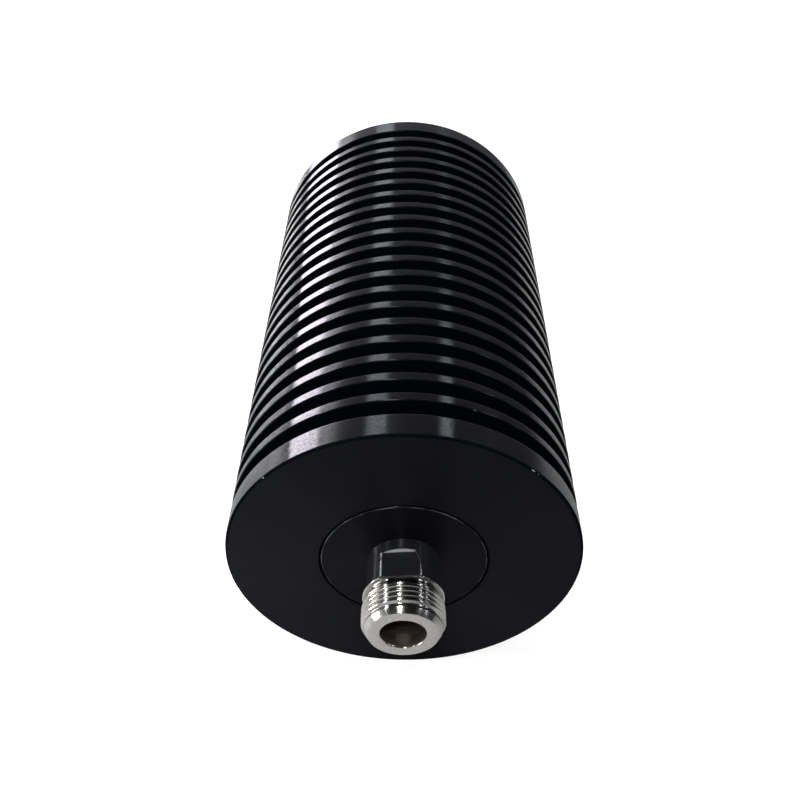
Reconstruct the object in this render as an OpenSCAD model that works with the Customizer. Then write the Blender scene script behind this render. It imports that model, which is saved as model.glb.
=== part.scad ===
// High power coaxial attenuator: a finned round heat sink with a jack at each end.
// It lies on its side. Its axis runs along Y, the front jack points to -Y and +Z is up.
// The origin is on the surface it lies on, under the middle of the body.

/* [Heat sink] */
// Diameter over the fins and the two end flanges
body_d = 70; // [60:1:90]
// Number of thin fins between the end flanges
fin_count = 19; // [15:1:24]
// Thickness of one fin
fin_t = 2.2; // [1.8:0.1:3]
// Open width between two fins
fin_gap = 3.4; // [2.8:0.1:4.2]
// Diameter at the bottom of the gaps
root_d = 42; // [39:1:48]
// Thickness of each end flange
flange_t = 5.5; // [4:0.5:9]
// Broken edge on each fin's rim
rim_break = 0.25; // [0.1:0.05:0.5]
// Broken edge on each flange's rim
flange_break = 0.4; // [0.2:0.1:0.8]
// Corner slope at the bottom of each gap
root_break = 0.6; // [0.3:0.1:1]

/* [End caps] */
// Diameter of the cap's head, flush in the flange
cap_d = 32.8; // [32:0.2:34]
// Thickness of the cap's head
cap_head_t = 4; // [3:0.5:6]
// Outside diameter of the cap's threaded barrel
cap_thread_d = 31.9; // [31:0.1:31.9]
// Length of the cap's threaded barrel
cap_thread_l = 8; // [6:0.5:10]
// Broken edge round the cap's head
cap_break = 0.3; // [0.1:0.1:0.6]
// Broken edge round the seat in the flange
seat_break = 0.35; // [0.1:0.05:0.6]
// Diameter of the neck
neck_d = 14.4; // [13.8:0.1:15]
// Length of the neck out of the flange's face
neck_l = 8.3; // [7:0.1:12]
// Width over the two wrench flats
flats_af = 12; // [11.6:0.1:12.8]
// Distance from the flange's face to the flats' end wall
flat_start = 2.2; // [1:0.1:4]
// Radius that the cutter leaves at one far corner of each flat
cutter_r = 11; // [9:0.5:13]
// Length of that corner along the neck
cutter_run = 5; // [3:0.5:6]
// Width left standing beside that corner
cutter_lip = 0.1; // [0:0.05:0.3]
// Angle at which the front cap's flats stop when it is tight
front_turn = 5; // [0:1:90]
// Angle at which the rear cap's flats stop when it is tight
rear_turn = 34; // [0:1:90]

/* [Connector shells] */
// Major diameter of the jack's 5/8-24 thread
thread_d = 15.875; // [15.7:0.025:15.9]
// Length of the shell out of the neck
shell_l = 8.3; // [7:0.1:10]
// Diameter of the plain ring that seats on the neck
ring_d = 15.7; // [15.1:0.1:15.8]
// Length of the plain ring
ring_l = 0.4; // [0.3:0.1:0.8]
// Width over the two flats milled on the ring
ring_af = 13.5; // [13:0.1:14.5]
// Diameter of the groove behind the thread
relief_d = 14.2; // [13.8:0.1:15]
// Width of the groove behind the thread
relief_l = 1.35; // [0.3:0.05:1.6]
// Length of the cone in front of the thread
cone_l = 2.05; // [1.5:0.05:2.5]
// Diameter of the shell's front face
shell_face_d = 13.3; // [12.5:0.1:14]
// Bore of the socket that takes the plug
socket_d = 8.6; // [8.5:0.05:8.7]
// Depth of the socket down to its reference face
socket_depth = 9.1; // [8.8:0.1:9.2]
// Lead chamfer at the socket's mouth
mouth_break = 0.3; // [0.1:0.05:0.5]
// Bore of the outer conductor
line_d = 7; // [6.8:0.1:7.2]
// Diameter of the shell's tail, screwed into the neck
tail_d = 10; // [9.8:0.1:10.4]
// How far the tail reaches in behind the flange's face
tail_depth = 2; // [1:0.5:3]

/* [Contacts and insulators] */
// Diameter of the centre conductor and its socket contact
contact_d = 3.04; // [2.9:0.02:3.1]
// Hole in the socket contact
contact_hole_d = 1.65; // [1.6:0.05:1.7]
// Depth of that hole
contact_hole_l = 5.5; // [5:0.5:7]
// How far the contact's tip lies behind the shell's front face
contact_recess = 4.3; // [4.1:0.1:4.5]
// Width of the four slots in the contact
slot_w = 0.3; // [0.2:0.05:0.4]
// Length of the four slots
slot_l = 4.5; // [3.5:0.5:5]
// Chamfer on the contact's tip
tip_break = 0.25; // [0.1:0.05:0.3]
// Diameter of the contact's waist inside the insulator
waist_d = 2.4; // [2.2:0.1:2.6]
// Diameter of the contact's threaded stub
stub_d = 1.6; // [1.4:0.1:1.8]
// Length of the stub
stub_l = 3; // [2:0.5:4]
// Outside diameter of the insulator behind the contact
insulator_d = 8; // [7.6:0.1:8.2]
// Length of the insulator
insulator_l = 4; // [3:0.5:5]
// Outside diameter of the bead at the cap's inner face
bead_d = 10.2; // [9.8:0.1:11]
// Length of the bead
bead_l = 3; // [2:0.5:4]
// Middle diameter of the ring spring that grounds the core
spring_d = 16; // [15:0.5:20]
// Thickness of the ring spring
spring_t = 1.46; // [1.2:0.02:1.6]
// Height of the flattened end of the inner conductor above the tab
blade_t = 1.2; // [0.8:0.1:1.4]
// Length of the flattened end
blade_l = 2.6; // [2:0.1:4]

/* [Core] */
// Diameter of the split core
core_d = 29.94; // [29:0.02:30.5]
// Length of the solid block at each end of the core
end_block_l = 13; // [12:0.5:16]
// Width of the ceramic resistor card
card_w = 14; // [12:0.5:15]
// Thickness of the resistor card
card_t = 2; // [1:0.25:3]
// Width of the contact tab
tab_w = 2.4; // [2:0.1:3]
// Thickness of the contact tab
tab_t = 0.25; // [0.1:0.05:0.4]
// Length of the tab on the card
tab_lap = 3; // [2:0.5:5]
// Gap between the tab and the step behind the flattened end
tab_gap = 0.5; // [0.2:0.1:1]
// How far the card's top lies under the axis
card_drop = 0.55; // [0.45:0.05:0.8]
// How far each clamp bar laps over the card
clamp_lap = 1.3; // [0.8:0.1:1.8]
// Thickness of a clamp bar
clamp_t = 1.5; // [1:0.1:2]
// Height of the channel over the card
channel_h = 4.2; // [4:0.1:5]
// Number of screws in each clamp bar
clamp_screws = 5; // [3:1:7]
// Shank diameter of a clamp screw
clamp_screw_d = 2.5; // [2:0.1:2.5]
// Length of a clamp screw under its head
clamp_screw_l = 7; // [5:0.5:9]
// Head diameter of a clamp screw
clamp_head_d = 4.5; // [4:0.1:4.7]
// Head height of a clamp screw
clamp_head_h = 1.7; // [1.2:0.1:1.9]
// Width of the slot in a clamp screw's head
clamp_slot_w = 0.6; // [0.4:0.1:0.8]
// Shank diameter of a core screw
core_screw_d = 3; // [2.5:0.1:3.2]
// Length of a core screw under its head
core_screw_l = 12; // [10:1:14]
// Head diameter of a core screw
core_head_d = 5.5; // [5:0.1:5.7]
// Head height of a core screw
core_head_h = 3; // [2.5:0.1:3]
// Width over the flats of a core screw's socket
core_key_af = 2.5; // [2:0.1:3]
// Depth of a core screw's socket
core_key_depth = 1.6; // [1:0.1:2]
// Distance of the core screws in from the core's side
core_screw_edge = 6.3; // [6:0.1:6.6]
// Distance of the core screws from the core's end
core_screw_end = 8; // [7:0.5:9]
// Diameter of a dowel pin
dowel_d = 2.5; // [2:0.1:2.8]
// Length of a dowel pin
dowel_l = 8; // [6:1:10]
// Distance of the dowels in from the core's side
dowel_edge = 2.8; // [2.6:0.1:3.2]
// Distance of the dowels from the core's end
dowel_end = 3.5; // [3:0.5:4]

/* [Fits] */
// Clearance round the cap's head, on the radius
cap_fit = 0.1; // [0.05:0.05:0.2]
// Clearance in the threads, on the radius
thread_fit = 0.04; // [0.02:0.01:0.06]
// Clearance of the core in the bore, on the radius
core_fit = 0.03; // [0.02:0.01:0.06]
// Gap between the core and each end cap
core_gap = 0.3; // [0.2:0.05:0.4]
// Gap behind the shell's tail
tail_gap = 0.05; // [0.02:0.01:0.1]
// Clearance round the small inner pieces, on the radius
small_fit = 0.02; // [0.01:0.01:0.04]
// Gap round the resistor card and the clamp bars
card_fit = 0.2; // [0.1:0.05:0.3]
// Clearance of a screw in its through hole, on the radius
hole_fit = 0.2; // [0.1:0.05:0.3]

/* [Hidden] */
$fn = 96;

black_anodised = [0.09, 0.09, 0.10];
nickel = [0.78, 0.76, 0.72];
gold = [0.86, 0.66, 0.30];
white_plastic = [0.93, 0.93, 0.90];
bare_aluminium = [0.76, 0.77, 0.79];
silver = [0.88, 0.87, 0.84];
ceramic = [0.95, 0.94, 0.90];
brass = [0.78, 0.66, 0.38];
steel = [0.62, 0.62, 0.64];

// Overlap that a cut reaches past a face
cut = 1;

// Along the axis
fin_pitch = fin_t + fin_gap;
body_l = 2 * flange_t + fin_count * fin_t + (fin_count + 1) * fin_gap;
cap_depth = cap_head_t + cap_thread_l;
core_l = body_l - 2 * (cap_depth + core_gap);
pocket_l = core_l - 2 * end_block_l;
card_l = pocket_l - 2 * card_fit;
clamp_l = card_l - 2 * tab_lap;
// Places in an end, counted out from the flange's face
shell_front = neck_l + shell_l;
thread_start = neck_l + ring_l + relief_l;
reference_face = shell_front - socket_depth;
contact_tip = shell_front - contact_recess;
insulator_front = insulator_l - tail_depth;
core_face = -cap_depth - core_gap;
card_end = core_face - end_block_l - card_fit;
blade_end = core_face - end_block_l + card_fit;

// Across the axis
axis_h = body_d / 2;
seat_d = cap_d + 2 * cap_fit;
tapped_d = cap_thread_d + 2 * thread_fit;
core_bore_d = core_d + 2 * core_fit;
card_top = -card_drop;
card_floor = card_top - card_t;
tab_top = card_top + tab_t;
clamp_top = card_top + clamp_t;
clamp_inner_x = card_w / 2 - clamp_lap;
clamp_screw_x = card_w / 2 + card_fit + clamp_screw_d / 2 + hole_fit;
clamp_outer_x = clamp_screw_x + clamp_head_d / 2;
channel_w = 2 * (clamp_outer_x + card_fit);
core_screw_x = core_d / 2 - core_screw_edge;
core_head_seat = core_screw_l / 2;
dowel_x = core_d / 2 - dowel_edge;
flat_half_w = sqrt(pow(neck_d / 2, 2) - pow(flats_af / 2, 2));
tap_clear = 0.5;

// Starts of the flanges and fins, from one end of the body to the other
disc_starts = [
    0,
    for (i = [0 : fin_count - 1]) flange_t + fin_gap + i * fin_pitch,
    body_l - flange_t
];
function is_flange(k) = k == 0 || k == fin_count + 1;
function disc_t(k) = is_flange(k) ? flange_t : fin_t;
function disc_break(k) = is_flange(k) ? flange_break : rim_break;
function disc_end(k) = disc_starts[k] + disc_t(k);

// Half section of one fin or flange: its wall, its rim with both edges broken, its wall
function rim_points(k) = let (b = disc_break(k), r = body_d / 2) [
    [r - b, disc_starts[k]],
    [r, disc_starts[k] + b],
    [r, disc_end(k) - b],
    [r - b, disc_end(k)]
];
// Half section of the gap behind disc k, with its corners sloped
function gap_points(k) = let (r = root_d / 2) [
    [r + root_break, disc_end(k)],
    [r, disc_end(k) + root_break],
    [r, disc_starts[k + 1] - root_break],
    [r + root_break, disc_starts[k + 1]]
];

// Puts a piece drawn about the z axis along the body's axis, from the front face back
module along_body() {
    translate([0, -body_l / 2, axis_h]) rotate([-90, 0, 0]) children();
}

// Puts a piece of an end in place: its z runs out of the flange's face and its y is up
module at_end(turn) {
    rotate([0, 0, turn]) translate([0, -body_l / 2, axis_h]) rotate([90, 0, 0]) children();
}

// Puts a piece of the core in place, drawn about the axis at the middle of the body
module in_core() {
    translate([0, 0, axis_h]) children();
}

// A straight round piece from one height to another
module rod(d, low, high) {
    translate([0, 0, low]) cylinder(d = d, h = high - low);
}

// A block from one corner to the other
module block(low, high) {
    translate(low) cube(high - low);
}

// Repeats a piece at each clamp screw of one bar
module at_clamp_screws() {
    span = clamp_l - 2 * clamp_head_d;
    for (i = [0 : clamp_screws - 1])
        translate([clamp_screw_x, -span / 2 + i * span / (clamp_screws - 1), 0]) children();
}

// Repeats a piece at the four core screws
module at_core_screws() {
    for (x = [-core_screw_x, core_screw_x], side = [-1, 1])
        translate([x, side * (core_l / 2 - core_screw_end), 0]) children();
}

// Repeats a piece at the two dowels, on opposite corners of the core
module at_dowels() {
    for (side = [-1, 1])
        translate([side * dowel_x, side * (core_l / 2 - dowel_end), 0]) children();
}

// The finned body, turned in one piece and bored through
module heat_sink() {
    color(black_anodised) along_body() difference() {
        rotate_extrude() polygon(concat(
            [[0, 0]],
            [for (k = [0 : fin_count + 1]) each concat(
                rim_points(k),
                k <= fin_count ? gap_points(k) : []
            )],
            [[0, body_l]]
        ));
        rod(core_bore_d, -cut, body_l + cut);
        end_seat();
        translate([0, 0, body_l]) mirror([0, 0, 1]) end_seat();
    }
}

// What is bored and tapped in one end of the body for its cap
module end_seat() {
    rod(tapped_d, -cut, cap_depth);
    rod(seat_d, -cut, cap_head_t);
    cylinder(d1 = seat_d + 2 * seat_break, d2 = seat_d, h = seat_break);
}

// The cap with its neck: head, threaded barrel, wrench flats and stepped bore
module end_cap(flats_turn) {
    color(black_anodised) difference() {
        union() {
            rotate_extrude() polygon([
                [0, -cap_depth],
                [cap_thread_d / 2 - cap_break, -cap_depth],
                [cap_thread_d / 2, -cap_depth + cap_break],
                [cap_thread_d / 2, -cap_head_t],
                [cap_d / 2, -cap_head_t],
                [cap_d / 2, -cap_break],
                [cap_d / 2 - cap_break, 0],
                [0, 0]
            ]);
            rotate([0, 0, flats_turn]) neck();
        }
        rod(tail_d + 2 * thread_fit, -tail_depth, neck_l + cut);
        rod(line_d, -cap_depth - cut, neck_l);
        rod(bead_d + 2 * small_fit, -cap_depth - cut, -cap_depth + bead_l);
        spring_groove();
    }
}

// The neck with a flat milled on its top and one under it
module neck() {
    difference() {
        rod(neck_d, -cap_head_t / 2, neck_l);
        for (side = [0, 180]) rotate([0, 0, side]) translate([0, flats_af / 2, 0])
            rotate([-90, 0, 0]) mirror([0, 1, 0]) linear_extrude(neck_d) flat_outline();
    }
}

// Plan of one flat, x across the neck and y along it: open at one side,
// and rounded by the cutter at the far corner of the other
module flat_outline() {
    edge = flat_half_w - cutter_lip;
    intersection() {
        translate([-neck_d, flat_start]) square([neck_d + edge, neck_l]);
        union() {
            translate([edge - cutter_r, flat_start + cutter_run]) circle(r = cutter_r);
            translate([-neck_d, flat_start + cutter_run]) square([2 * neck_d, neck_l]);
        }
    }
}

// The groove in the cap's inner face that holds the ring spring
module spring_groove() {
    width = spring_t + 2 * small_fit;
    depth = spring_t + 2 * small_fit - core_gap;
    difference() {
        rod(spring_d + width, -cap_depth - cut, -cap_depth + depth);
        rod(spring_d - width, -cap_depth - 2 * cut, -cap_depth + depth + cut);
    }
}

// The jack's outer conductor, with the plain cylinder of its thread
module connector_shell(flats_turn) {
    color(nickel) difference() {
        rotate_extrude() polygon([
            [tail_d / 2, -tail_depth + tail_gap],
            [tail_d / 2, neck_l],
            [ring_d / 2, neck_l],
            [ring_d / 2, neck_l + ring_l],
            [relief_d / 2, neck_l + ring_l],
            [relief_d / 2, thread_start],
            [thread_d / 2, thread_start],
            [thread_d / 2, shell_front - cone_l],
            [shell_face_d / 2, shell_front],
            [socket_d / 2 + mouth_break, shell_front],
            [socket_d / 2, shell_front - mouth_break],
            [socket_d / 2, reference_face],
            [line_d / 2, reference_face],
            [line_d / 2, insulator_front],
            [insulator_d / 2 + small_fit, insulator_front],
            [insulator_d / 2 + small_fit, -tail_depth + tail_gap]
        ]);
        for (side = [0, 180]) rotate([0, 0, flats_turn + side]) ring_flat();
    }
}

// What one flat takes off the ring, running out in the groove behind the thread
module ring_flat() {
    block(
        [-ring_d, ring_af / 2, neck_l - cut],
        [ring_d, ring_d, thread_start - relief_l / 2]
    );
}

// The slotted socket contact, with a waist for its insulator and a threaded stub
module center_contact() {
    color(gold) difference() {
        rotate_extrude() polygon([
            [0, -tail_depth - stub_l],
            [stub_d / 2, -tail_depth - stub_l],
            [stub_d / 2, -tail_depth],
            [waist_d / 2, -tail_depth],
            [waist_d / 2, insulator_front],
            [contact_d / 2, insulator_front],
            [contact_d / 2, contact_tip - tip_break],
            [contact_d / 2 - tip_break, contact_tip],
            [0, contact_tip]
        ]);
        rod(contact_hole_d, contact_tip - contact_hole_l, contact_tip + cut);
        for (turn = [45, 135]) rotate([0, 0, turn])
            block(
                [-contact_d, -slot_w / 2, contact_tip - slot_l],
                [contact_d, slot_w / 2, contact_tip + cut]
            );
    }
}

// A round insulator with the hole for what it holds
module insulator(d, hole, low, high) {
    color(white_plastic) difference() {
        rod(d, low, high);
        rod(hole + 2 * small_fit, low - cut, high + cut);
    }
}

// The rod from the contact to the card: tapped for the stub and flattened at its end
module inner_conductor() {
    color(gold) difference() {
        rod(contact_d, blade_end, -tail_depth);
        rod(stub_d + 2 * small_fit, -tail_depth - stub_l - tap_clear, cut);
        block([-contact_d, -contact_d, blade_end - cut], [contact_d, tab_top, blade_end + blade_l]);
        block(
            [-contact_d, tab_top + blade_t, blade_end - cut],
            [contact_d, contact_d, blade_end + blade_l]
        );
    }
}

// The ring spring between the cap's inner face and the core
module ground_spring() {
    color(gold) translate([0, 0, core_face + small_fit + spring_t / 2])
        rotate_extrude() translate([spring_d / 2, 0]) circle(d = spring_t, $fn = 32);
}

// The strip from under the flattened end onto the card
module contact_tab() {
    color(silver) block(
        [-tab_w / 2, card_top, card_end - tab_lap],
        [tab_w / 2, tab_top, blade_end + blade_l - tab_gap]
    );
}

// Half of the round core, with what is bored along and across it
module core_half(low, high) {
    difference() {
        intersection() {
            rotate([90, 0, 0]) cylinder(d = core_d, h = core_l, center = true);
            block([-core_d, -core_l, low], [core_d, core_l, high]);
        }
        rotate([90, 0, 0]) cylinder(d = line_d, h = core_l + 2 * cut, center = true);
        at_dowels() rod(dowel_d + 2 * small_fit, -dowel_l / 2 - tap_clear, dowel_l / 2 + tap_clear);
    }
}

// The lower half of the core, which seats the card and takes every screw
module core_lower_half() {
    color(bare_aluminium) in_core() difference() {
        core_half(-core_d, 0);
        block(
            [-card_w / 2 - card_fit, -pocket_l / 2, card_floor],
            [card_w / 2 + card_fit, pocket_l / 2, cut]
        );
        block([-channel_w / 2, -pocket_l / 2, card_top], [channel_w / 2, pocket_l / 2, cut]);
        at_core_screws() rod(core_screw_d + 2 * small_fit, -core_screw_l / 2 - tap_clear, cut);
        for (side = [0, 1]) mirror([side, 0, 0]) at_clamp_screws()
            rod(clamp_screw_d + 2 * small_fit, clamp_top - clamp_screw_l - tap_clear, cut);
    }
}

// The upper half of the core, with the channel over the card
module core_upper_half() {
    color(bare_aluminium) in_core() difference() {
        core_half(0, core_d);
        block([-channel_w / 2, -pocket_l / 2, -cut], [channel_w / 2, pocket_l / 2, channel_h]);
        at_core_screws() {
            rod(core_screw_d + 2 * hole_fit, -cut, core_d);
            rod(core_head_d + 2 * hole_fit, core_head_seat, core_d);
        }
    }
}

// The four socket head screws that clamp the core's halves together
module core_screws() {
    color(steel) in_core() at_core_screws() difference() {
        union() {
            rod(core_screw_d, core_head_seat - core_screw_l, core_head_seat);
            rod(core_head_d, core_head_seat, core_head_seat + core_head_h);
        }
        translate([0, 0, core_head_seat + core_head_h - core_key_depth])
            cylinder(d = core_key_af / cos(30), h = core_key_depth + cut, $fn = 6);
    }
}

// The two dowel pins that line up the core's halves
module core_dowels() {
    color(steel) in_core() at_dowels() rod(dowel_d, -dowel_l / 2, dowel_l / 2);
}

// The ceramic card that carries the resistor film
module resistor_card() {
    color(ceramic) in_core()
        block([-card_w / 2, -card_l / 2, card_floor], [card_w / 2, card_l / 2, card_top]);
}

// The bar that clamps one edge of the card
module card_clamp() {
    color(brass) in_core() difference() {
        block([clamp_inner_x, -clamp_l / 2, card_top], [clamp_outer_x, clamp_l / 2, clamp_top]);
        at_clamp_screws() rod(clamp_screw_d + 2 * hole_fit, card_top - cut, clamp_top + cut);
    }
}

// The slotted screws of both clamp bars
module card_clamp_screws() {
    color(steel) in_core() for (side = [0, 1]) mirror([side, 0, 0]) at_clamp_screws() difference() {
        union() {
            rod(clamp_screw_d, clamp_top - clamp_screw_l, clamp_top);
            rod(clamp_head_d, clamp_top, clamp_top + clamp_head_h);
        }
        block(
            [-clamp_head_d, -clamp_slot_w / 2, clamp_top + clamp_head_h / 2],
            [clamp_head_d, clamp_slot_w / 2, clamp_top + clamp_head_h + cut]
        );
    }
}

heat_sink();
at_end(0) end_cap(front_turn);  // front_end_cap
at_end(180) end_cap(rear_turn);  // rear_end_cap
at_end(0) connector_shell(front_turn);  // front_connector_shell
at_end(180) connector_shell(rear_turn);  // rear_connector_shell
at_end(0) center_contact();  // front_center_contact
at_end(180) center_contact();  // rear_center_contact
at_end(0) insulator(insulator_d, waist_d, -tail_depth, insulator_front);  // front_contact_insulator
at_end(180) insulator(insulator_d, waist_d, -tail_depth, insulator_front);  // rear_contact_insulator
at_end(0) inner_conductor();  // front_inner_conductor
at_end(180) inner_conductor();  // rear_inner_conductor
at_end(0) insulator(bead_d, contact_d, -cap_depth, -cap_depth + bead_l);  // front_support_bead
at_end(180) insulator(bead_d, contact_d, -cap_depth, -cap_depth + bead_l);  // rear_support_bead
at_end(0) ground_spring();  // front_ground_spring
at_end(180) ground_spring();  // rear_ground_spring
at_end(0) contact_tab();  // front_contact_tab
at_end(180) contact_tab();  // rear_contact_tab
core_lower_half();
core_upper_half();
core_screws();
core_dowels();
resistor_card();
mirror([1, 0, 0]) card_clamp();  // left_card_clamp
card_clamp();  // right_card_clamp
card_clamp_screws();
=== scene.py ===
"""Dresses the coaxial attenuator: a finned, black anodised body with a nickel plated jack at each end."""
from math import asin, atan2, cos, pi, radians, sin, sqrt, tan

import bmesh
import bpy
from mathutils import Matrix, Vector


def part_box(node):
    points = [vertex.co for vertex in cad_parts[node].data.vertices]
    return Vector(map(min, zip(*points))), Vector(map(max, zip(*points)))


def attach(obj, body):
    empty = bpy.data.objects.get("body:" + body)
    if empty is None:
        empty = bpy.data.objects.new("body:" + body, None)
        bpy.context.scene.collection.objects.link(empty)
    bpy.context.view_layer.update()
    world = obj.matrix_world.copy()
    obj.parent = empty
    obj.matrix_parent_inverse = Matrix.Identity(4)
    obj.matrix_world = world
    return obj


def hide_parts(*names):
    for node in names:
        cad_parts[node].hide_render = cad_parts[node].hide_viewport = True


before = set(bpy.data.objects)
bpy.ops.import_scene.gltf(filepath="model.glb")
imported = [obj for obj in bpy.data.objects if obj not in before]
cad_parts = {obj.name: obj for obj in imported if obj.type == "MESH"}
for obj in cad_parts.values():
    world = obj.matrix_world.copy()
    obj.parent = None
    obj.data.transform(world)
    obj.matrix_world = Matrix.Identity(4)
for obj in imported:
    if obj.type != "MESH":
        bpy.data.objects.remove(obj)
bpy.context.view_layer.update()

# Sizes are in millimetres up to the lights, and the first ones are read from the frame.
MM = 0.001
body_low, body_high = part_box("heat_sink")
cap_low, cap_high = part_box("front_end_cap")
shell_low, shell_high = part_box("front_connector_shell")

BODY_R = body_high.x / MM
BODY_L = (body_high.y - body_low.y) / MM
AXIS_H = BODY_R
HALF_L = BODY_L / 2
CAP_R = cap_high.x / MM
CAP_DEPTH = cap_high.y / MM + HALF_L
NECK_L = -cap_low.y / MM - HALF_L
THREAD_R = shell_high.x / MM
SHELL_FRONT = -shell_low.y / MM - HALF_L
TAIL_END = -shell_high.y / MM - HALF_L

# Finned body
FIN_COUNT = 19
FIN_T = 2.2
FLANGE_T = 5.5
FIN_GAP = (BODY_L - 2 * FLANGE_T - FIN_COUNT * FIN_T) / (FIN_COUNT + 1)
ROOT_R = 21
RIM_ROUND = 0.25
FLANGE_ROUND = 0.4
ROOT_ROUND = 0.6
CORE_BORE_R = 15
TAPPED_R = 15.99
SEAT_R = CAP_R + 0.1
SEAT_ROUND = 0.35
FIRST_FIN = HALF_L - FLANGE_T - FIN_GAP

# End cap
CAP_HEAD_T = 4
CAP_BARREL_R = 15.95
CAP_ROUND = 0.3
NECK_R = 7.2
NECK_ROUND = 0.15
TAIL_BORE_R = 5.04
TAIL_BORE_DEPTH = 2
BEAD_R = 5.12
BEAD_DEPTH = 3
SPRING_R = 8
SPRING_GROOVE_W = 1.5
SPRING_GROOVE_DEPTH = 1.2
FLATS_HALF = 6
FLAT_START = 2.2
CUTTER_R = 11
CUTTER_RUN = 5
CUTTER_LIP = 0.1
CUTTER_STEPS = 12
FRONT_TURN = radians(5)
REAR_TURN = radians(34)

# Connector shell
RING_R = 7.85
RING_L = 0.4
RING_ROUND = 0.06
RING_FLATS_HALF = 6.75
RELIEF_R = 7.1
RELIEF_L = 1.35
# The collar's flats end in the groove, over this length
FLATS_FADE = 0.01
LEAD_IN_R = 7.5
LEAD_IN_L = 1.2
CONE_L = 2.05
CONE_UNDER_ROOT = 0.05
THREAD_OVER_CONE = 0.3
SHELL_FACE_R = 6.65
SHELL_FACE_ROUND = 0.12
SOCKET_R = 4.3
SOCKET_ROUND = 0.05
SOCKET_DEPTH = 9.1
MOUTH_ROUND = 0.3
LINE_R = 3.5
LINE_ROUND = 0.1
TAIL_R = 5
INSULATOR_R = 4.02
INSULATOR_FRONT = 2
PITCH = 25.4 / 24
THREAD_TURNS = 9
THREAD_DEPTH = 0.542 * PITCH
CREST_FLAT = PITCH / 8
# How far from the cap's face a crest crosses the jack's upper side
CREST_PLACE = 11.26
FLANK = radians(30)
CREST_ROUND = CREST_FLAT / 2 / tan(FLANK)
ROOT_ROUND_R = (PITCH / 2 - CREST_FLAT / 2) / tan(FLANK) - THREAD_DEPTH

# Steps of a full turn, and of the arc that rounds a corner
BODY_STEPS = 256
CAP_STEPS = 192
SHELL_STEPS = 240
ARC_STEPS = 3
# Points closer than this are one
WELD = 0.001

AXIS_MIDDLE = Vector((0, 0, AXIS_H * MM))


def end_place(turn):
    """Takes a piece drawn with its z out of an end's face and its y up, in millimetres, to its place."""
    out = Matrix.Rotation(turn, 4, "Z") @ Matrix.Translation((0, -HALF_L * MM, AXIS_H * MM))
    return out @ Matrix.Rotation(pi / 2, 4, "X") @ Matrix.Scale(MM, 4)


FRONT = end_place(0)
REAR = end_place(pi)


def rounded(corners):
    """The outline (radius, z) through these corners, each (radius, z, rounding), with an arc at each."""
    outline = []
    for before, corner, after in zip(corners[-1:] + corners[:-1], corners, corners[1:] + corners[:1]):
        here = Vector(corner[:2])
        if corner[2] == 0:
            outline.append(here)
            continue
        back = (Vector(before[:2]) - here).normalized()
        ahead = (Vector(after[:2]) - here).normalized()
        half = back.angle(ahead) / 2
        centre = here + (back + ahead).normalized() * (corner[2] / sin(half))
        start = here + back * (corner[2] / tan(half)) - centre
        sweep = (pi - 2 * half) * (-1 if back.cross(ahead) > 0 else 1)
        for i in range(ARC_STEPS + 1):
            outline.append(centre + Matrix.Rotation(sweep * i / ARC_STEPS, 2) @ start)
    return outline


def draw(bm, outline):
    """Draws the outline (radius, z) on the +y side as a chain of edges, and returns its points."""
    points = [bm.verts.new((0, r, z)) for r, z in outline]
    for a, b in zip(points, points[1:]):
        bm.edges.new((a, b))
    return points


def spin(bm, steps, merge=False, rise=0):
    """Turns what the mesh holds once about the z axis, with its rise along the axis in each step."""
    bmesh.ops.spin(
        bm, geom=bm.verts[:] + bm.edges[:], cent=(0, 0, 0), axis=(0, 0, 1), dvec=(0, 0, rise),
        angle=2 * pi, steps=steps, use_merge=merge, use_normal_flip=False, use_duplicate=False,
    )


def turned(outline, steps, closed=True):
    """A round piece with this outline (radius, z), turned about the z axis."""
    bm = bmesh.new()
    points = draw(bm, outline)
    if closed:
        bm.edges.new((points[-1], points[0]))
    spin(bm, steps, merge=True)
    return bm


def make_piece(name, bm, place, node, finishes, sort_face):
    """Puts a mesh in its place as a piece that stands for a node. sort_face picks a face's finish."""
    bmesh.ops.recalc_face_normals(bm, faces=bm.faces)
    for face in bm.faces:
        face.smooth = True
        face.material_index = sort_face(face)
    bmesh.ops.transform(bm, matrix=place, verts=bm.verts)
    mesh = bpy.data.meshes.new(name)
    bm.to_mesh(mesh)
    bm.free()
    for finish in finishes:
        mesh.materials.append(finish.material)
    piece = bpy.data.objects.new(name, mesh)
    bpy.context.scene.collection.objects.link(piece)
    # Flat faces shade flat and the roundings between them shade smooth
    flatten = piece.modifiers.new("flat faces", "WEIGHTED_NORMAL")
    flatten.weight = 95
    flatten.keep_sharp = True
    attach(piece, "root")
    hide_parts(node)


# Materials


class Nodes:
    """Short calls that add nodes to a material or to the world."""

    def __init__(self, tree):
        self.tree = tree

    def feed(self, node, inputs):
        """Sets or links a node's inputs, each by its name or number."""
        for key, value in inputs.items():
            if isinstance(value, bpy.types.NodeSocket):
                self.tree.links.new(value, node.inputs[key])
            else:
                node.inputs[key].default_value = value

    def add(self, kind, inputs, output=0, **settings):
        """Adds a node and returns one of its outputs."""
        node = self.tree.nodes.new("ShaderNode" + kind)
        for key, value in settings.items():
            setattr(node, key, value)
        self.feed(node, inputs)
        return node.outputs[output]

    def maths(self, operation, *values):
        """A sum, product or test of its values."""
        return self.add("Math", dict(enumerate(values)), operation=operation)

    def spread(self, value, low, high, low_end=0.0, high_end=1.0):
        """Stretches the values from low to high over those from low_end to high_end."""
        inputs = {0: value, 1: low, 2: high, 3: low_end, 4: high_end}
        return self.add("MapRange", inputs)

    def mix(self, factor, first, second):
        """A mix of two colours."""
        first, second = [v if isinstance(v, bpy.types.NodeSocket) else (*v, 1) for v in (first, second)]
        return self.add("Mix", {0: factor, 6: first, 7: second}, output=2, data_type="RGBA")


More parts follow.
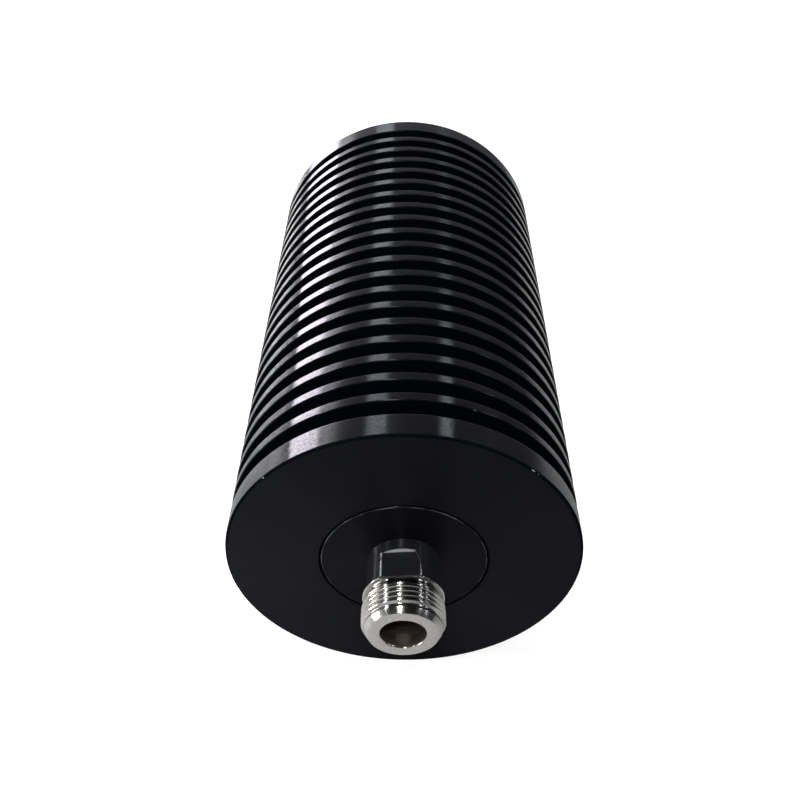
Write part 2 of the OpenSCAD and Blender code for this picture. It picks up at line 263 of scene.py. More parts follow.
class Finish(Nodes):
    """A material with its main shader, and its patterns on the body's own axes."""

    def __init__(self, name, colour, roughness, metallic=0.0, specular=0.5, anisotropic=0.0):
        self.material = bpy.data.materials.new(name)
        self.material.use_nodes = True
        super().__init__(self.material.node_tree)
        self.shader = self.tree.nodes["Principled BSDF"]
        self.put({
            "Base Color": (*colour, 1),
            "Roughness": roughness,
            "Metallic": metallic,
            "Specular IOR Level": specular,
            "Anisotropic": anisotropic,
        })
        # Object coordinates with the body's axis as their y axis
        place = self.tree.nodes.new("ShaderNodeTexCoord").outputs["Object"]
        self.place = self.add("Mapping", {"Vector": place, "Location": -AXIS_MIDDLE})

    def put(self, inputs):
        """Sets or links the main shader's inputs."""
        self.feed(self.shader, inputs)

    def base_colour(self):
        """The pattern that feeds the shader's colour so far."""
        return self.shader.inputs["Base Color"].links[0].from_socket

    def radius(self):
        """Distance from the body's axis."""
        across = self.stretched((1, 0, 1))
        return self.add("VectorMath", {0: across}, output="Value", operation="LENGTH")

    def along(self):
        """Distance along the body's axis."""
        return self.add("SeparateXYZ", {0: self.place}, output="Y")

    def stretched(self, factors):
        """The place times a factor along each axis."""
        return self.add("VectorMath", {0: self.place, 1: factors}, operation="MULTIPLY")

    def noise(self, size, shape=(1, 1, 1), detail=2.0):
        """Blotches of this size in metres, made smaller along each axis by its factor in shape."""
        return self.add("TexNoise", {"Vector": self.stretched(shape), "Scale": 1 / size, "Detail": detail})

    def rings(self, width):
        """Fine rings round the axis, such as a turning tool leaves, this wide in metres."""
        section = self.add("CombineXYZ", {0: self.along(), 1: self.radius()})
        return self.add("TexNoise", {"Vector": section, "Scale": 1 / width, "Detail": 2.0})

    def grain_round_axis(self):
        """Runs the brushed sheen across the tool marks, which go round the body's axis."""
        inputs = {0: self.place, 1: (0, 1, 0)}
        marks = self.add("VectorMath", inputs, operation="CROSS_PRODUCT")
        tangent = self.add("VectorMath", {0: marks}, operation="NORMALIZE")
        self.put({"Tangent": tangent, "Anisotropic Rotation": 0.25})

    def bump(self, *layers):
        """Raises the surface by the sum of its layers, each a pattern and its height in metres."""
        height = 0.0
        for pattern, depth in layers:
            height = self.maths("MULTIPLY_ADD", pattern, depth, height)
        self.put({"Normal": self.add("Bump", {"Height": height, "Strength": 1.0, "Distance": 1.0})})

    def tint(self, pattern, dark, light):
        """Lets the colour wander between two colours with a pattern."""
        self.put({"Base Color": self.mix(self.spread(pattern, 0.35, 0.65), dark, light)})

    def near(self, radius, angle, out, size, long):
        """True in a ragged patch of this size, and this many times as long round the axis. Its middle is
        at this radius, angle from the top and distance out from the body's middle."""
        a = radians(angle)
        place = Vector((sin(a) * radius, -out, cos(a) * radius)) * MM
        away = self.add("VectorMath", {0: self.place, 1: place}, operation="SUBTRACT")
        turned_away = self.add("VectorRotate", {"Vector": away, "Angle": -a}, rotation_type="Y_AXIS")
        squeezed = self.add("VectorMath", {0: turned_away, 1: (1 / long, 1, 1)}, operation="MULTIPLY")
        distance = self.add("VectorMath", {0: squeezed}, output="Value", operation="LENGTH")
        ragged = self.maths("MULTIPLY_ADD", self.noise(0.0003), size * MM, distance)
        return self.maths("LESS_THAN", ragged, 1.2 * size * MM)

    def knocks(self):
        """True in the knocks on the front's edges."""
        places = [self.near(*knock) for knock in EDGE_KNOCKS]
        while len(places) > 1:
            places.append(self.maths("MAXIMUM", places.pop(), places.pop()))
        return places[0]

    def show_wear_and_highlight(self, wear_and_highlight, patchy=0.0):
        """Shows bare aluminium at real wear and at painted highlights, and dulls it in patches."""
        metal = self.maths("MAXIMUM", wear_and_highlight, patchy)
        self.put({"Base Color": self.mix(wear_and_highlight, self.base_colour(), BARE), "Metallic": metal})

    def paint_shade(self, place):
        """Paints shade: makes the colour nearly black where the place is true."""
        self.put({"Base Color": self.mix(place, self.base_colour(), shade(PAINTED_SHADE_BLACK, 0.7))})

    def paint_root_shade(self):
        """Paints shade into the roots of a jack's thread, darkest at the root."""
        root = THREAD_R - THREAD_DEPTH
        from_axis = self.spread(self.radius(), root * MM, (root + ROOT_SHADE_H) * MM, 1.0, 0.0)
        from_middle = self.maths("ABSOLUTE", self.along())
        threaded = self.maths("LESS_THAN", from_middle, (HALF_L + SHELL_FRONT - CONE_L) * MM)
        deep = self.maths("MULTIPLY", from_axis, threaded)
        self.put({"Base Color": self.mix(deep, self.base_colour(), shade(NICKEL, 0.45))})

    def band(self, middle, half_width):
        """True in a ring at this radius, this far to either side, in millimetres."""
        return self.maths("COMPARE", self.radius(), middle * MM, half_width * MM)

    def specks(self, size, share):
        """True in scattered specks of this size in metres."""
        return self.maths("LESS_THAN", self.noise(size, detail=1), share)


BLACK = (0.0048, 0.005, 0.0065)
# Near black for painted shade in the gaps, on the broken edges and beside the seams
PAINTED_SHADE_BLACK = (0.0018, 0.0026, 0.0038)
FACED_BLACK = (0.0054, 0.0058, 0.0088)
BARE = (0.7, 0.71, 0.73)
NICKEL = (0.66, 0.64, 0.60)
GOLD = (0.62, 0.48, 0.27)
SILVER = (0.80, 0.79, 0.76)
STEEL = (0.56, 0.56, 0.58)
BRASS = (0.74, 0.60, 0.32)

# Wear, painted highlights and painted shade, and how far the painted shade reaches beside an edge
RIM_KNOCK_R = BODY_R - 0.1
NICK_R = BODY_R - 0.15
NICK_HALF = 0.1
# How far the painted shade reaches to either side of the seam and of the face's outer edge
SEAM_SHADE_HALF = 0.5
EDGE_SHADE_HALF = 0.6
# Where the painted highlight of bare metal runs round the cap's edge, and its half width
SEAM_HIGHLIGHT_R = CAP_R - 0.17
SEAM_HIGHLIGHT_HALF = 0.07
# Where the painted highlight runs along a flat's long edges
FLAT_HIGHLIGHT_FROM = NECK_R - 0.2
FLAT_HIGHLIGHT_TO = NECK_R - 0.08
END_WALL_BLACK_FROM = NECK_R - 0.3
END_WALL_BLACK_TO = NECK_R - 0.2
# Where the painted patch of light lies in the jack's bore
BORE_LIGHT_R = SOCKET_R + 0.1
BORE_LIGHT_IN = 2
# How far up from the thread's root the painted shade reaches
ROOT_SHADE_H = 0.4
# Knocks on the front's edges: radius, angle from the top, distance from the middle, size, length
EDGE_KNOCKS = [
    (RIM_KNOCK_R, 41, HALF_L, 0.26, 3),
    (RIM_KNOCK_R, 43.3, HALF_L, 0.16, 3),
    (RIM_KNOCK_R, -46.7, HALF_L, 0.17, 6),
    (RIM_KNOCK_R, -49.4, HALF_L, 0.1, 2),
    (RIM_KNOCK_R, 21.3, FIRST_FIN, 0.1, 6),
    (CAP_R, 106, HALF_L, 0.15, 2),
]


def shade(colour, factor):
    """The colour made darker or lighter by this factor."""
    return tuple(part * factor for part in colour)


def black_rim():
    """Black anodised, turned on its outside: crisp round the body and drawn out along it."""
    finish = Finish("black_anodised_rim", BLACK, roughness=0.18, anisotropic=1.0)
    finish.grain_round_axis()
    grain = finish.noise(0.0005, shape=(1, 1.5, 1), detail=3)
    marks = finish.noise(0.0011, shape=(1, 3, 1), detail=3)
    finish.tint(grain, shade(BLACK, 0.7), shade(BLACK, 1.4))
    finish.put({"Roughness": finish.spread(marks, 0.35, 0.65, 0.14, 0.21)})
    finish.bump((marks, 1.2e-5), (grain, 5e-6))
    nicks = finish.maths("MULTIPLY", finish.specks(0.0005, 0.3), finish.band(NICK_R, NICK_HALF))
    knocks = finish.maths("MAXIMUM", finish.knocks(), nicks)
    finish.show_wear_and_highlight(knocks, patchy=finish.spread(grain, 0.38, 0.58, 0.0, 0.42))
    return finish


def black_face(name, colour, highlight_at=0):
    """Black anodised, faced: satin, fine rings, painted shade by the seam and edge, a painted highlight at
    this radius if any.
    """
    finish = Finish(name, colour, roughness=0.33, specular=0.06, anisotropic=1.0)
    finish.grain_round_axis()
    rings = finish.rings(0.0004)
    finish.tint(rings, shade(colour, 0.8), shade(colour, 1.2))
    # Painted shade: nearly black bands beside the seam and beside the face's outer edge
    finish.paint_shade(finish.band(SEAT_R, SEAM_SHADE_HALF))
    finish.paint_shade(finish.band(BODY_R, EDGE_SHADE_HALF))
    finish.bump((rings, 1.5e-6), (finish.noise(0.0004), 1.5e-6))
    # Painted highlight: bare metal in patches along the band at this radius
    patchy = finish.spread(finish.noise(0.003), 0.4, 0.6, 0.02, 0.15)
    painted_light = finish.maths("MULTIPLY", finish.band(highlight_at, SEAM_HIGHLIGHT_HALF), patchy)
    finish.show_wear_and_highlight(finish.maths("MAXIMUM", finish.knocks(), painted_light))
    return finish


def painted_shade_edge():
    """The broken edges of a flange and the gaps between the fins, painted nearly black and without shine
    as shade.
    """
    finish = Finish("black_anodised_painted_shade", PAINTED_SHADE_BLACK, roughness=0.8, specular=0.0)
    finish.tint(finish.noise(0.0005), shade(PAINTED_SHADE_BLACK, 0.7), shade(PAINTED_SHADE_BLACK, 1.3))
    finish.show_wear_and_highlight(finish.knocks())
    return finish


def black_neck():
    """Black anodised, turned with a coarser tool: lamps show as fine lines along the neck."""
    finish = Finish("black_anodised_neck", BLACK, roughness=0.24, specular=0.42, anisotropic=1.0)
    finish.grain_round_axis()
    rings = finish.rings(0.0003)
    finish.tint(rings, shade(BLACK, 0.8), shade(BLACK, 1.2))
    finish.bump((rings, 2e-6))
    return finish


def black_milled():
    """Black anodised, milled: the wrench flats, with a painted highlight of bare metal along their edges.
    """
    colour = shade(BLACK, 0.8)
    finish = Finish("black_anodised_flat", colour, roughness=0.3, specular=0.3)
    paths = finish.noise(0.0008, shape=(8, 1, 1))
    finish.tint(paths, shade(colour, 0.8), shade(colour, 1.2))
    finish.bump((paths, 3e-6))
    # Painted highlight: bare metal along the flats' long edges, in patches
    painted_light = finish.spread(finish.radius(), FLAT_HIGHLIGHT_FROM * MM, FLAT_HIGHLIGHT_TO * MM, 0.0, 0.45)
    finish.show_wear_and_highlight(finish.maths("MULTIPLY", painted_light, finish.spread(finish.noise(0.0005), 0.3, 0.5)))
    return finish


def end_wall_painted_highlight():
    """The end wall of a wrench flat, painted pale as a highlight up to a thin black line at its outer
    edge.
    """
    finish = Finish("end_wall_with_painted_highlight", BARE, roughness=0.6, metallic=0.2)
    grain = finish.noise(0.0005, shape=(1, 1, 4))
    bright = finish.mix(finish.spread(grain, 0.35, 0.65), shade(BARE, 0.75), BARE)
    edge = finish.spread(finish.radius(), END_WALL_BLACK_FROM * MM, END_WALL_BLACK_TO * MM)
    finish.put({"Base Color": finish.mix(edge, bright, BLACK)})
    finish.bump((grain, 5e-6))
    return finish


def nickel_plate():
    """Bright nickel over turned brass: streaks run across the fine tool marks, with painted shade in the
    thread's roots.
    """
    finish = Finish("nickel_plate", NICKEL, roughness=0.18, metallic=1.0, anisotropic=0.8)
    finish.grain_round_axis()
    ripple = finish.noise(0.0007, shape=(1, 1.5, 1))
    finish.tint(ripple, shade(NICKEL, 0.85), NICKEL)
    finish.paint_root_shade()
    finish.bump((finish.rings(0.00012), 1e-6), (ripple, 9e-6))
    return finish


def socket_bore():
    """The jack's bore, painted darker and browner than its outside as shade, with a painted patch of light
    low down.
    """
    finish = Finish("nickel_plate_bore", (0.16, 0.13, 0.11), roughness=0.4, metallic=0.8)
    rings = finish.rings(0.0003)
    finish.tint(rings, (0.14, 0.115, 0.095), (0.2, 0.17, 0.145))
    # Painted light: a less metallic patch on the bore's lower side, which reads lighter
    painted_light = finish.near(BORE_LIGHT_R, 180, HALF_L + SHELL_FRONT - BORE_LIGHT_IN, 1.5, 1.3)
    finish.put({"Metallic": finish.spread(painted_light, 0.0, 1.0, 0.8, 0.1)})
    finish.bump((rings, 3e-6))
    return finish


def turned_metal(name, colour):
    """A plain metal with fine rings round the body's axis."""
    finish = Finish(name, colour, roughness=0.25, metallic=1.0, anisotropic=0.5)
    finish.grain_round_axis()
    rings = finish.rings(0.0002)
    finish.tint(rings, shade(colour, 0.85), colour)
    finish.bump((rings, 1.5e-6))
    return finish


def milled_metal(name, colour):
    """A plain metal with straight cutter marks along the body, rougher in some of them."""
    finish = Finish(name, colour, roughness=0.3, metallic=1.0)
    marks = finish.noise(0.002, shape=(12, 1, 12))
    finish.tint(marks, shade(colour, 0.85), colour)
    finish.put({"Roughness": finish.spread(marks, 0.3, 0.7, 0.25, 0.38)})
    finish.bump((marks, 3e-6))
    return finish


def white_insulator():
    """White fluoropolymer: waxy, with faint turning rings."""
    finish = Finish("white_insulator", (0.86, 0.86, 0.83), roughness=0.45)
    rings = finish.rings(0.0003)
    finish.tint(rings, (0.82, 0.82, 0.79), (0.88, 0.88, 0.86))
    finish.bump((rings, 2e-6), (finish.noise(0.0006), 3e-6))
    return finish


def resistor_ceramic():
    """Unglazed ceramic: fine, pale and slightly speckled."""
    finish = Finish("resistor_ceramic", (0.85, 0.84, 0.8), roughness=0.7, specular=0.4)
    speckle = finish.noise(0.0002, detail=4)
    finish.tint(speckle, (0.78, 0.77, 0.72), (0.88, 0.87, 0.84))
    finish.bump((speckle, 4e-6))
    return finish


# Pieces


def body_outline():
    """The finned body's section: seats and bore, then its fins and gaps from front to rear."""
    back = -BODY_L
    starts = [0]
    starts += [FLANGE_T + FIN_GAP + i * (FIN_T + FIN_GAP) for i in range(FIN_COUNT)]
    starts += [BODY_L - FLANGE_T]
    corners = [(SEAT_R, 0, SEAT_ROUND)]
    for k, start in enumerate(starts):
        last = k == FIN_COUNT + 1
        end_disc = k == 0 or last
        end = start + (FLANGE_T if end_disc else FIN_T)
        rounding = FLANGE_ROUND if end_disc else RIM_ROUND
        corners += [(BODY_R, -start, rounding), (BODY_R, -end, rounding)]
        if not last:
            corners += [(ROOT_R, -end, ROOT_ROUND), (ROOT_R, -starts[k + 1], ROOT_ROUND)]
    corners += [
        (SEAT_R, back, SEAT_ROUND),
        (SEAT_R, back + CAP_HEAD_T, 0),
        (TAPPED_R, back + CAP_HEAD_T, 0),
        (TAPPED_R, back + CAP_DEPTH, 0),
        (CORE_BORE_R, back + CAP_DEPTH, 0),
        (CORE_BORE_R, -CAP_DEPTH, 0),
        (TAPPED_R, -CAP_DEPTH, 0),
        (TAPPED_R, -CAP_HEAD_T, 0),
        (SEAT_R, -CAP_HEAD_T, 0),
    ]
    return rounded(corners)


def faced(face):
    """True where a face looks along the z axis more than away from it."""
    return abs(face.normal.z) > 0.7


def make_body(finishes):
    """The finned body. The finishes are for its outside, its faces, and the painted shade on its gaps and
    broken edges.
    """
    def sort_face(face):
        middle = face.calc_center_median()
        from_end = min(-middle.z, middle.z + BODY_L)
        slanted = 0.1 < abs(face.normal.z) < 0.99
        broken_edge = from_end < FLANGE_ROUND and slanted
        in_gap = from_end > FLANGE_ROUND and middle.xy.length < BODY_R - RIM_ROUND
        # The gaps and the broken edges take the painted shade
        return 2 if broken_edge or in_gap else int(faced(face))

    bm = turned(body_outline(), BODY_STEPS)
    make_piece("finned_body", bm, FRONT, "heat_sink", finishes, sort_face)


def cap_outline():
    """An end cap's section: its head and neck, its barrel, and the stepped bore."""
    groove_in = SPRING_R - SPRING_GROOVE_W / 2
    groove_out = SPRING_R + SPRING_GROOVE_W / 2
    return rounded([
        (TAIL_BORE_R, NECK_L, 0),
        (NECK_R, NECK_L, NECK_ROUND),
        (NECK_R, 0, NECK_ROUND),
        (CAP_R, 0, CAP_ROUND),
        (CAP_R, -CAP_HEAD_T, 0),
        (CAP_BARREL_R, -CAP_HEAD_T, 0),
        (CAP_BARREL_R, -CAP_DEPTH, CAP_ROUND),
        (groove_out, -CAP_DEPTH, 0),
        (groove_out, -CAP_DEPTH + SPRING_GROOVE_DEPTH, 0),
        (groove_in, -CAP_DEPTH + SPRING_GROOVE_DEPTH, 0),
        (groove_in, -CAP_DEPTH, 0),
        (BEAD_R, -CAP_DEPTH, 0),
        (BEAD_R, -CAP_DEPTH + BEAD_DEPTH, 0),
        (LINE_R, -CAP_DEPTH + BEAD_DEPTH, 0),
        (LINE_R, -TAIL_BORE_DEPTH, 0),
        (TAIL_BORE_R, -TAIL_BORE_DEPTH, 0),
    ])


def flat_cutter(turn):
    """What the cutter takes off one side of the neck: open at one side, with a curved far corner."""
    edge = sqrt(NECK_R**2 - FLATS_HALF**2) - CUTTER_LIP
    first = asin(CUTTER_RUN / CUTTER_R)
    plan = [(-2 * NECK_R, FLAT_START)]
    for i in range(CUTTER_STEPS + 1):
        angle = first * (i / CUTTER_STEPS - 1)
        across = edge - CUTTER_R + CUTTER_R * cos(angle)
        plan.append((across, FLAT_START + CUTTER_RUN + CUTTER_R * sin(angle)))
    plan += [(edge, 2 * NECK_L), (-2 * NECK_R, 2 * NECK_L)]
    bm = bmesh.new()
    bottom = bm.faces.new([bm.verts.new((x, FLATS_HALF, z)) for x, z in plan])
    raised = bmesh.ops.extrude_face_region(bm, geom=[bottom], use_keep_orig=True)
    top = [v for v in raised["geom"] if isinstance(v, bmesh.types.BMVert)]
    bmesh.ops.translate(bm, vec=(0, NECK_R, 0), verts=top)
    bmesh.ops.recalc_face_normals(bm, faces=bm.faces)
    bmesh.ops.rotate(bm, cent=(0, 0, 0), matrix=Matrix.Rotation(turn, 3, "Z"), verts=bm.verts)
    return bm


def as_object(name, bm):
    """Makes an object of a mesh, with no place in the part yet."""
    mesh = bpy.data.meshes.new(name)
    bm.to_mesh(mesh)
    bm.free()
    made = bpy.data.objects.new(name, mesh)
    bpy.context.scene.collection.objects.link(made)
    return made


def cut_away(bm, cutters):
    """The mesh with the cutters' shapes taken off it. The faces that a cutter leaves have slot 1."""
    whole = as_object("whole", bm)
    tools = [as_object("cutter", cutter) for cutter in cutters]
    # Two empty slots on each, so that the cut keeps the slots' numbers
    for thing in [whole, *tools]:
        thing.data.materials.append(None)
        thing.data.materials.append(None)
    for tool in tools:
        for face in tool.data.polygons:
            face.material_index = 1
        cut = whole.modifiers.new("cut", "BOOLEAN")
        cut.operation = "DIFFERENCE"
        cut.solver = "EXACT"
        cut.object = tool
    result = bmesh.new()
    result.from_object(whole, bpy.context.evaluated_depsgraph_get())
    for thing in [whole, *tools]:
        bpy.data.objects.remove(thing)
    return result


def make_cap(name, place, flats_turn, node, finishes):
    """An end cap with its neck. The finishes are for its outside, its face, its flats and their ends."""
    cutters = [flat_cutter(flats_turn), flat_cutter(flats_turn + pi)]
    bm = cut_away(turned(cap_outline(), CAP_STEPS), cutters)

    def sort_face(face):
        if face.material_index == 0:
            return int(faced(face))
        return 3 if abs(face.normal.z) > 0.95 else 2

    for edge in bm.edges:
        milled = any(face.material_index == 1 for face in edge.link_faces)
        if milled and edge.calc_face_angle(0) > radians(15):
            edge.smooth = False
    make_piece(name, bm, place, node, finishes, sort_face)


def thread_radius(beside):
    """The thread's radius at a distance along the axis from the middle of a crest."""
    beside = abs((beside + PITCH / 2) % PITCH - PITCH / 2)
    from_root = PITCH / 2 - beside
    if beside < CREST_ROUND * cos(FLANK):
        return THREAD_R - CREST_ROUND + sqrt(CREST_ROUND**2 - beside**2)
    if from_root < ROOT_ROUND_R * cos(FLANK):
        return THREAD_R - THREAD_DEPTH + ROOT_ROUND_R - sqrt(ROOT_ROUND_R**2 - from_root**2)
    return THREAD_R - (beside - CREST_FLAT / 2) / tan(FLANK)


def thread_rows():
    """Places along the axis of a thread's points, from one root to the next, counted from its crest."""
    arc = [radians(angle) for angle in (20, 40, 60)]
    crest = [CREST_ROUND * sin(angle) for angle in arc]
    root = [PITCH / 2 - ROOT_ROUND_R * sin(angle) for angle in reversed(arc)]
    half = [*crest, (crest[-1] + root[0]) / 2, *root, PITCH / 2]
    return [-place for place in reversed(half)] + [0] + half


def add_thread(bm, start, cone_start, cone_end, cone_slope):
    """Winds the thread from its relief to the cone that cuts it off, right-handed."""
    # The lowest crest lies a turn or two under the start, to which the points under it are drawn up
    low = CREST_PLACE - round((CREST_PLACE - start) / PITCH + 1.5) * PITCH
    rows = thread_rows()
    widest = max(b - a for a, b in zip(rows, rows[1:]))
    root_r = THREAD_R - THREAD_DEPTH
    sheet = bmesh.new()
    draw(sheet, [(thread_radius(row), low + row) for row in rows])
    spin(sheet, SHELL_STEPS, rise=PITCH / SHELL_STEPS)
    one_turn = sheet.verts[:] + sheet.edges[:] + sheet.faces[:]
    for turn in range(1, THREAD_TURNS):
        copy = bmesh.ops.duplicate(sheet, geom=one_turn)["geom"]
        copied = [part for part in copy if isinstance(part, bmesh.types.BMVert)]
        bmesh.ops.translate(sheet, vec=(0, 0, turn * PITCH), verts=copied)
    for vert in sheet.verts:
        r = vert.co.xy.length
        direction = vert.co.xy / r
        z = vert.co.z
        if z < start - widest:
            r, z = RELIEF_R, start
        elif z < start:
            angle = Vector((0, 1)).angle_signed(direction, 0)
            r, z = thread_radius(start - CREST_PLACE + angle / (2 * pi) * PITCH), start
        z = min(z, cone_end)
        r = min(r, THREAD_R - max(z - cone_start, 0) * cone_slope)
        r = min(r, LEAD_IN_R + (z - start) / LEAD_IN_L * (THREAD_R - LEAD_IN_R))
        if z > cone_start + THREAD_OVER_CONE:
            r = min(r, root_r)
        vert.co = (direction.x * r, direction.y * r, z)
    mesh = bpy.data.meshes.new("thread")
    sheet.to_mesh(mesh)
    sheet.free()
    bm.from_mesh(mesh)
    bpy.data.meshes.remove(mesh)


def shell_mesh(flats_turn):
    """The jack's outer conductor with its real thread."""
    start = NECK_L + RING_L + RELIEF_L
    flat_end = start - RELIEF_L / 2
    cone_start = SHELL_FRONT - CONE_L
    cone_slope = (THREAD_R - SHELL_FACE_R) / CONE_L
    cone_end = cone_start + (THREAD_DEPTH + CONE_UNDER_ROOT) / cone_slope
    cone_end_r = THREAD_R - (cone_end - cone_start) * cone_slope
    reference_face = SHELL_FRONT - SOCKET_DEPTH
    outline = rounded([
        (RELIEF_R, start, 0),
        (RELIEF_R, flat_end, 0),
        (RELIEF_R, flat_end - FLATS_FADE, 0),
        (RELIEF_R, NECK_L + RING_L, 0),
        (RING_R, NECK_L + RING_L, RING_ROUND),
        (RING_R, NECK_L, RING_ROUND),
        (TAIL_R, NECK_L, 0),
        (TAIL_R, TAIL_END, 0),
        (INSULATOR_R, TAIL_END, 0),
        (INSULATOR_R, INSULATOR_FRONT, 0),
        (LINE_R, INSULATOR_FRONT, 0),
        (LINE_R, reference_face, LINE_ROUND),
        (SOCKET_R, reference_face, SOCKET_ROUND),
        (SOCKET_R, SHELL_FRONT, MOUTH_ROUND),
        (SHELL_FACE_R, SHELL_FRONT, SHELL_FACE_ROUND),
        (cone_end_r, cone_end, 0),
    ])
    bm = turned(outline, SHELL_STEPS, closed=False)
    flat_way = Vector((-sin(flats_turn), cos(flats_turn)))
    for vert in bm.verts:
        across = abs(vert.co.xy.dot(flat_way))
        if across > RING_FLATS_HALF and vert.co.z < flat_end - FLATS_FADE / 2:
            vert.co.xy *= RING_FLATS_HALF / across
    add_thread(bm, start, cone_start, cone_end, cone_slope)
    bmesh.ops.remove_doubles(bm, verts=bm.verts, dist=WELD)
    return bm


def in_bore(face):
    """True for a face of the shell's bore."""
    middle = face.calc_center_median()
    return middle.xy.length < SOCKET_R + SOCKET_ROUND and middle.z < SHELL_FRONT - MOUTH_ROUND


def make_shell(name, place, flats_turn, node, finishes):
    """A jack's outer conductor. The finishes are for its outside and its bore."""
    make_piece(name, shell_mesh(flats_turn), place, node, finishes, in_bore)


# Lights, floor and camera, in metres

LAMP_DISTANCE = 0.9
CEILING = 0.9
POOL_LAMP_H = 0.5
POOL_LAMP_R = 0.1
POOL_BLEND = 0.6
FLOOR_R = 0.6
FLOOR_STEPS = 96
FLOOR_LIFT = 0.86
PHOTO_PIXELS = 800
WHITE = (1, 1, 1)
LILAC = (0.95, 0.89, 1.0)
COOL = (0.87, 0.94, 1.0)
DIM = (0.25, 0.25, 0.25)
ROOM_LEFT = (0.62, 0.62, 0.63)
ROOM_RIGHT = (0.04, 0.042, 0.053)


def place_lamp(name, lamp, place):
    """Puts a lamp in the scene, unseen by the camera."""
    made = bpy.data.objects.new(name, lamp)
    made.matrix_world = place
    made.visible_camera = False
    bpy.context.scene.collection.objects.link(made)
    return made


def panel_lamp(name, width, length, radiance, colour, place):
    """A flat lamp that is as bright as this from every side."""
    lamp = bpy.data.lights.new(name, "AREA")
    lamp.shape = "RECTANGLE"
    lamp.size = width
    lamp.size_y = length
    lamp.energy = radiance * pi * width * length
    lamp.color = colour
    place_lamp(name, lamp, place)


def softbox(name, azimuth, elevation, width, height, radiance, roll=0, colour=WHITE):
    """A lamp seen from the body in this direction, azimuth from +Y to +X, and this many degrees wide."""
    a, e = radians(azimuth), radians(elevation)
    towards = Vector((sin(a) * cos(e), cos(a) * cos(e), sin(e)))
    turn = (-towards).to_track_quat("-Z", "Y").to_matrix() @ Matrix.Rotation(radians(roll), 3, "Z")
    place = Matrix.Translation(AXIS_MIDDLE + towards * LAMP_DISTANCE) @ turn.to_4x4()
    wide, high = [2 * LAMP_DISTANCE * tan(radians(angle / 2)) for angle in (width, height)]
    panel_lamp(name, wide, high, radiance, colour, place)


def ceiling_strip(name, front, back, width, radiance):
    """A lamp along the ceiling between two places (x, y)."""
    front, back = Vector(front), Vector(back)
    run = back - front
    middle = Vector((*(front + back) / 2, AXIS_H * MM + CEILING))
    place = Matrix.Translation(middle) @ Matrix.Rotation(atan2(-run.x, run.y), 4, "Z")
    panel_lamp(name, width, run.length, radiance, COOL, place)


def floor_pool(name, place, across, irradiance):
    """A soft pool of light on the floor, from a lamp that no surface mirrors."""
    lamp = bpy.data.lights.new(name, "SPOT")
    lamp.shadow_soft_size = POOL_LAMP_R
    lamp.spot_size = 2 * atan2(across / 2, POOL_LAMP_H)
    lamp.spot_blend = POOL_BLEND
    lamp.energy = irradiance * 4 * pi * POOL_LAMP_H**2
    made = place_lamp(name, lamp, Matrix.Translation((*place, POOL_LAMP_H)))
    made.visible_glossy = False


def make_lights():
    """The lamps of the photo's room, where their mirror images on the rims and the jack put them."""
    softbox("window", -40.1, 10.8, 38, 15.3, 12, roll=38, colour=LILAC)
    softbox("window_glow", -30.5, 19.5, 24, 7, 2.6, roll=42, colour=LILAC)
    softbox("window_sill", -50, -3, 15, 10, 2.7, colour=LILAC)
    softbox("left_box", -108, 6, 20, 24, 6)
    softbox("left_lamp", -85, 43, 50, 5, 13, colour=COOL)
    softbox("right_lamp", 105, 42, 14, 5, 15, colour=COOL)
    softbox("right_low_lamp", 105, 24, 12, 6, 7, colour=COOL)
    softbox("low_lamp", -100, 2.5, 3, 9, 150)
    softbox("front_lamp", -165, 56, 5, 7, 75)
    ceiling_strip("top_lamp", (-0.125, -0.3), (-0.125, -0.02), 0.1, 16)
    ceiling_strip("long_strip", (-0.302, 0.55), (-0.319, 1.4), 0.22, 2.8)
    ceiling_strip("long_strip_end", (-0.33, 1.4), (-0.38, 2.3), 0.28, 2.7)
    ceiling_strip("right_strip", (0.405, 0.8), (0.53, 1.15), 0.13, 5.4)
    floor_pool("left_pool", (-0.108, 0.16), 0.14, 85)
    floor_pool("middle_left_pool", (-0.175, 0.19), 0.14, 22)
    floor_pool("far_left_pool", (-0.27, 0.25), 0.18, 18)
    floor_pool("near_left_pool", (-0.086, -0.005), 0.12, 13)
    floor_pool("front_left_pool", (-0.125, -0.08), 0.14, 18)
    floor_pool("right_pool", (0.09, 0.085), 0.15, 12)
    floor_pool("back_right_pool", (0.135, 0.19), 0.17, 11)
    floor_pool("front_pool", (0.045, -0.145), 0.17, 8)


def make_world():
    """White to the camera, a plain fill for lighting, and a dim studio in reflections."""
    world = bpy.data.worlds.new("studio")
    bpy.context.scene.world = world
    world.use_nodes = True
    nodes = Nodes(world.node_tree)
    seen_by_camera = nodes.add("LightPath", {}, output="Is Camera Ray")
    mirrored = nodes.add("LightPath", {}, output="Is Glossy Ray")
    direction = nodes.add("TexCoord", {}, output="Generated")
    to_right = nodes.add("SeparateXYZ", {0: direction}, output="X")
    up = nodes.add("SeparateXYZ", {0: direction}, output="Z")
    # Dimmer and bluer to the right, and dimmer overhead
    rightward = nodes.spread(to_right, -0.2, 0.7)
    tone = nodes.mix(rightward, ROOM_LEFT, ROOM_RIGHT)
    upward = nodes.spread(up, sin(radians(18)), sin(radians(38)), 1.0, 0.03)
    dimmed = nodes.add("VectorMath", {0: tone, 3: upward}, operation="SCALE")
    fill = nodes.mix(mirrored, DIM, dimmed)
    nodes.feed(world.node_tree.nodes["Background"], {"Color": nodes.mix(seen_by_camera, fill, WHITE)})


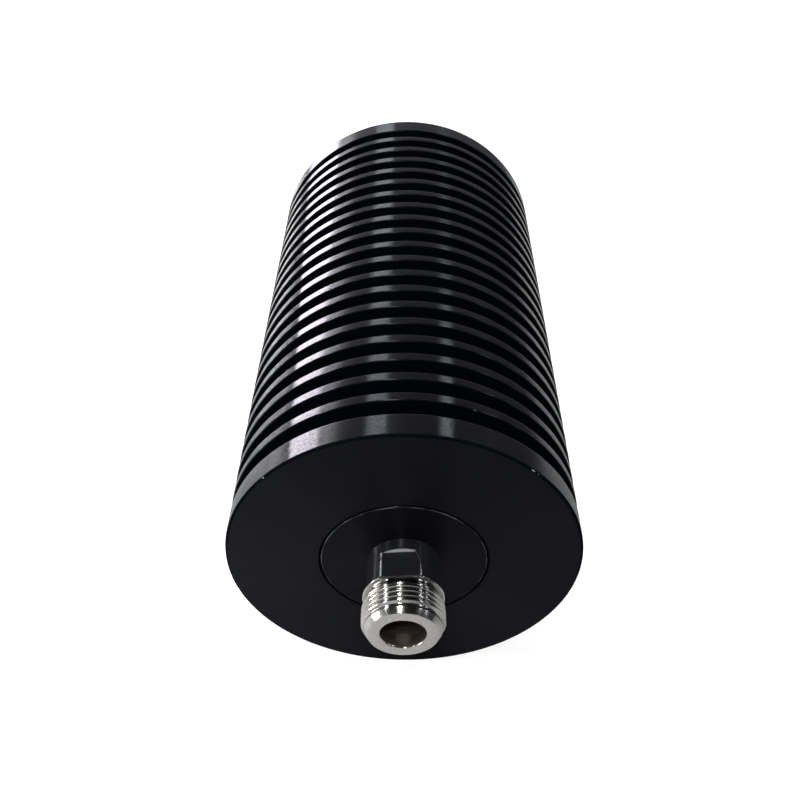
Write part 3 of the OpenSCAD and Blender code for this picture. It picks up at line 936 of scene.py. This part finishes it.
def make_floor():
    """A pale round table top that keeps the object's shadow."""
    bm = bmesh.new()
    bmesh.ops.create_circle(bm, cap_ends=True, segments=FLOOR_STEPS, radius=FLOOR_R)
    floor = as_object("floor", bm)
    material = bpy.data.materials.new("pale_floor")
    material.use_nodes = True
    nodes = Nodes(material.node_tree)
    seen_by_camera = nodes.add("LightPath", {}, output="Is Camera Ray")
    seen_through = nodes.add("LightPath", {}, output="Is Transmission Ray")
    lift = nodes.maths("MULTIPLY", nodes.maths("MAXIMUM", seen_by_camera, seen_through), FLOOR_LIFT)
    nodes.feed(material.node_tree.nodes["Principled BSDF"], {
        "Base Color": (*DIM, 1),
        "Roughness": 1.0,
        "Specular IOR Level": 0.0,
        "Emission Color": (*WHITE, 1),
        "Emission Strength": lift,
    })
    floor.data.materials.append(material)


def make_camera():
    """The photo's camera, found from the ellipses of the body's ends."""
    focal = 914.7
    sensor = 36
    pitch = radians(42.07)
    yaw = radians(0.60)
    camera = bpy.data.cameras.new("camera")
    camera.lens = focal / PHOTO_PIXELS * sensor
    camera.sensor_width = sensor
    camera.clip_start = 0.01
    made = bpy.data.objects.new("camera", camera)
    turn = Matrix.Rotation(yaw, 3, "Z") @ Matrix.Rotation(pi / 2 - pitch, 3, "X")
    # The front face's centre lies this far right of, under and beyond the camera
    face_centre = Vector((0.77, -31.92, -179.9))
    place = Vector((0, -HALF_L, AXIS_H)) - turn @ face_centre
    made.matrix_world = Matrix.Translation(place * MM) @ turn.to_4x4()
    bpy.context.scene.collection.objects.link(made)
    bpy.context.scene.camera = made


make_camera()
make_world()
make_floor()
make_lights()

body_finishes = [black_rim(), black_face("black_anodised_face", FACED_BLACK), painted_shade_edge()]
cap_face = black_face("black_anodised_cap_face", shade(FACED_BLACK, 0.6), highlight_at=SEAM_HIGHLIGHT_R)
cap_finishes = [black_neck(), cap_face, black_milled(), end_wall_painted_highlight()]
shell_finishes = [nickel_plate(), socket_bore()]
make_body(body_finishes)
make_cap("front_cap", FRONT, FRONT_TURN, "front_end_cap", cap_finishes)
make_cap("rear_cap", REAR, REAR_TURN, "rear_end_cap", cap_finishes)
make_shell("front_jack", FRONT, FRONT_TURN, "front_connector_shell", shell_finishes)
make_shell("rear_jack", REAR, REAR_TURN, "rear_connector_shell", shell_finishes)

kept_finishes = {
    "black_anodised": body_finishes[0],
    "black_anodised_cap": cap_face,
    "nickel_plate": shell_finishes[0],
    "gold_plate": turned_metal("turned_gold_plate", GOLD),
    "silver_strip": milled_metal("silver_plated_strip", SILVER),
    "bare_aluminium": milled_metal("milled_aluminium", BARE),
    "steel": milled_metal("plain_steel", STEEL),
    "clamp_brass": milled_metal("milled_brass", BRASS),
    "white_insulator": white_insulator(),
    "resistor_ceramic": resistor_ceramic(),
}
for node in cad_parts.values():
    for slot in node.material_slots:
        slot.material = kept_finishes[slot.material.name].material

bpy.context.scene.view_settings.view_transform = "Standard"
